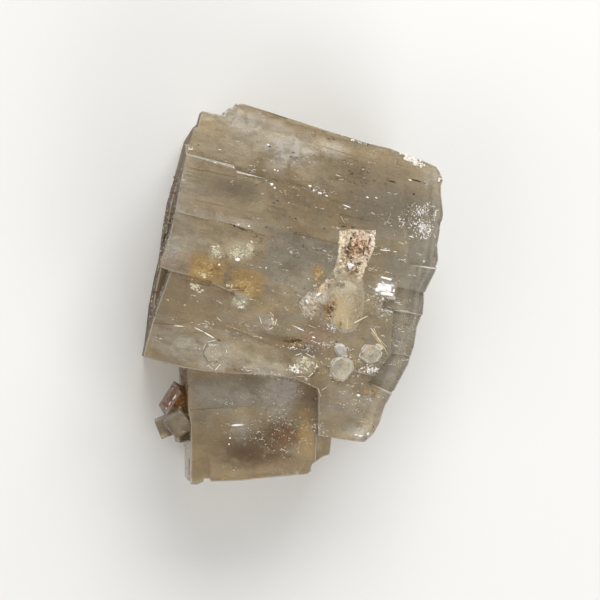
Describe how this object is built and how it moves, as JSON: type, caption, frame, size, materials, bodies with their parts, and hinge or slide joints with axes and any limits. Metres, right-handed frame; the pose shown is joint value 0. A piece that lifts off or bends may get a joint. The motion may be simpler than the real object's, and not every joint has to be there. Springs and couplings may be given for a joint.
{
  "type": "halite crystal",
  "caption": "Intergrown pair of clear smoky cleavage blocks with stepped faces, lying flat, with a pit of crumbly sediment and a pale guest crystal in the front face.",
  "frame": {"origin": "centre of the bounding box in plan, at the height of the flat back face that the crystal rests on", "axes": "+Z out of the front face, +Y along the long side from the second block towards the main block's top edge, +X to the right seen from the front"},
  "size_m": [0.0602, 0.0756, 0.0325],
  "materials": {
    "halite": "clear to hazy smoky brown crystal with flat cleavage faces",
    "matrix": "crumbly cream and pink sediment",
    "guest": "waxy pale yellow crystal"
  },
  "bodies": {
    "root": {"halite_crystal": "halite", "matrix_patch": "matrix", "guest_crystal": "guest"}
  },
  "joints": []
}
